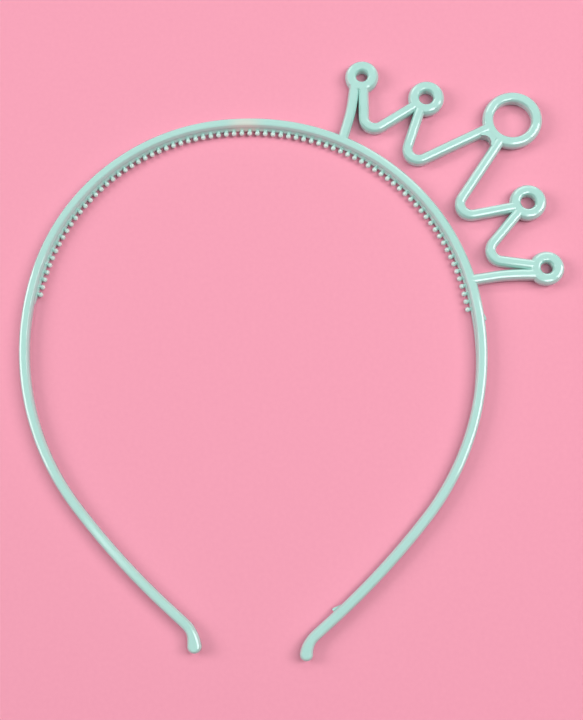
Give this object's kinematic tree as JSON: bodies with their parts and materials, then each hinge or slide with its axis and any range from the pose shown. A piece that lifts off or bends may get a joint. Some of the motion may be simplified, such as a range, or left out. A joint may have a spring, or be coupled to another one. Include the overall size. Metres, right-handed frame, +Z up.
{
  "type": "headband",
  "caption": "Flat moulded headband with an inner comb, out-turned tips and a small zigzag crown of bars and rings on one shoulder.",
  "frame": {"origin": "middle of the box round it, on the surface that it lies on", "axes": "+Y from the tips to the top of the band, +X toward the side that carries the crown, +Z up from the surface that it lies on"},
  "size_m": [0.1476, 0.1642, 0.0036],
  "materials": {
    "plastic": "gloss"
  },
  "bodies": {
    "root": {"headband": "plastic"}
  },
  "joints": []
}
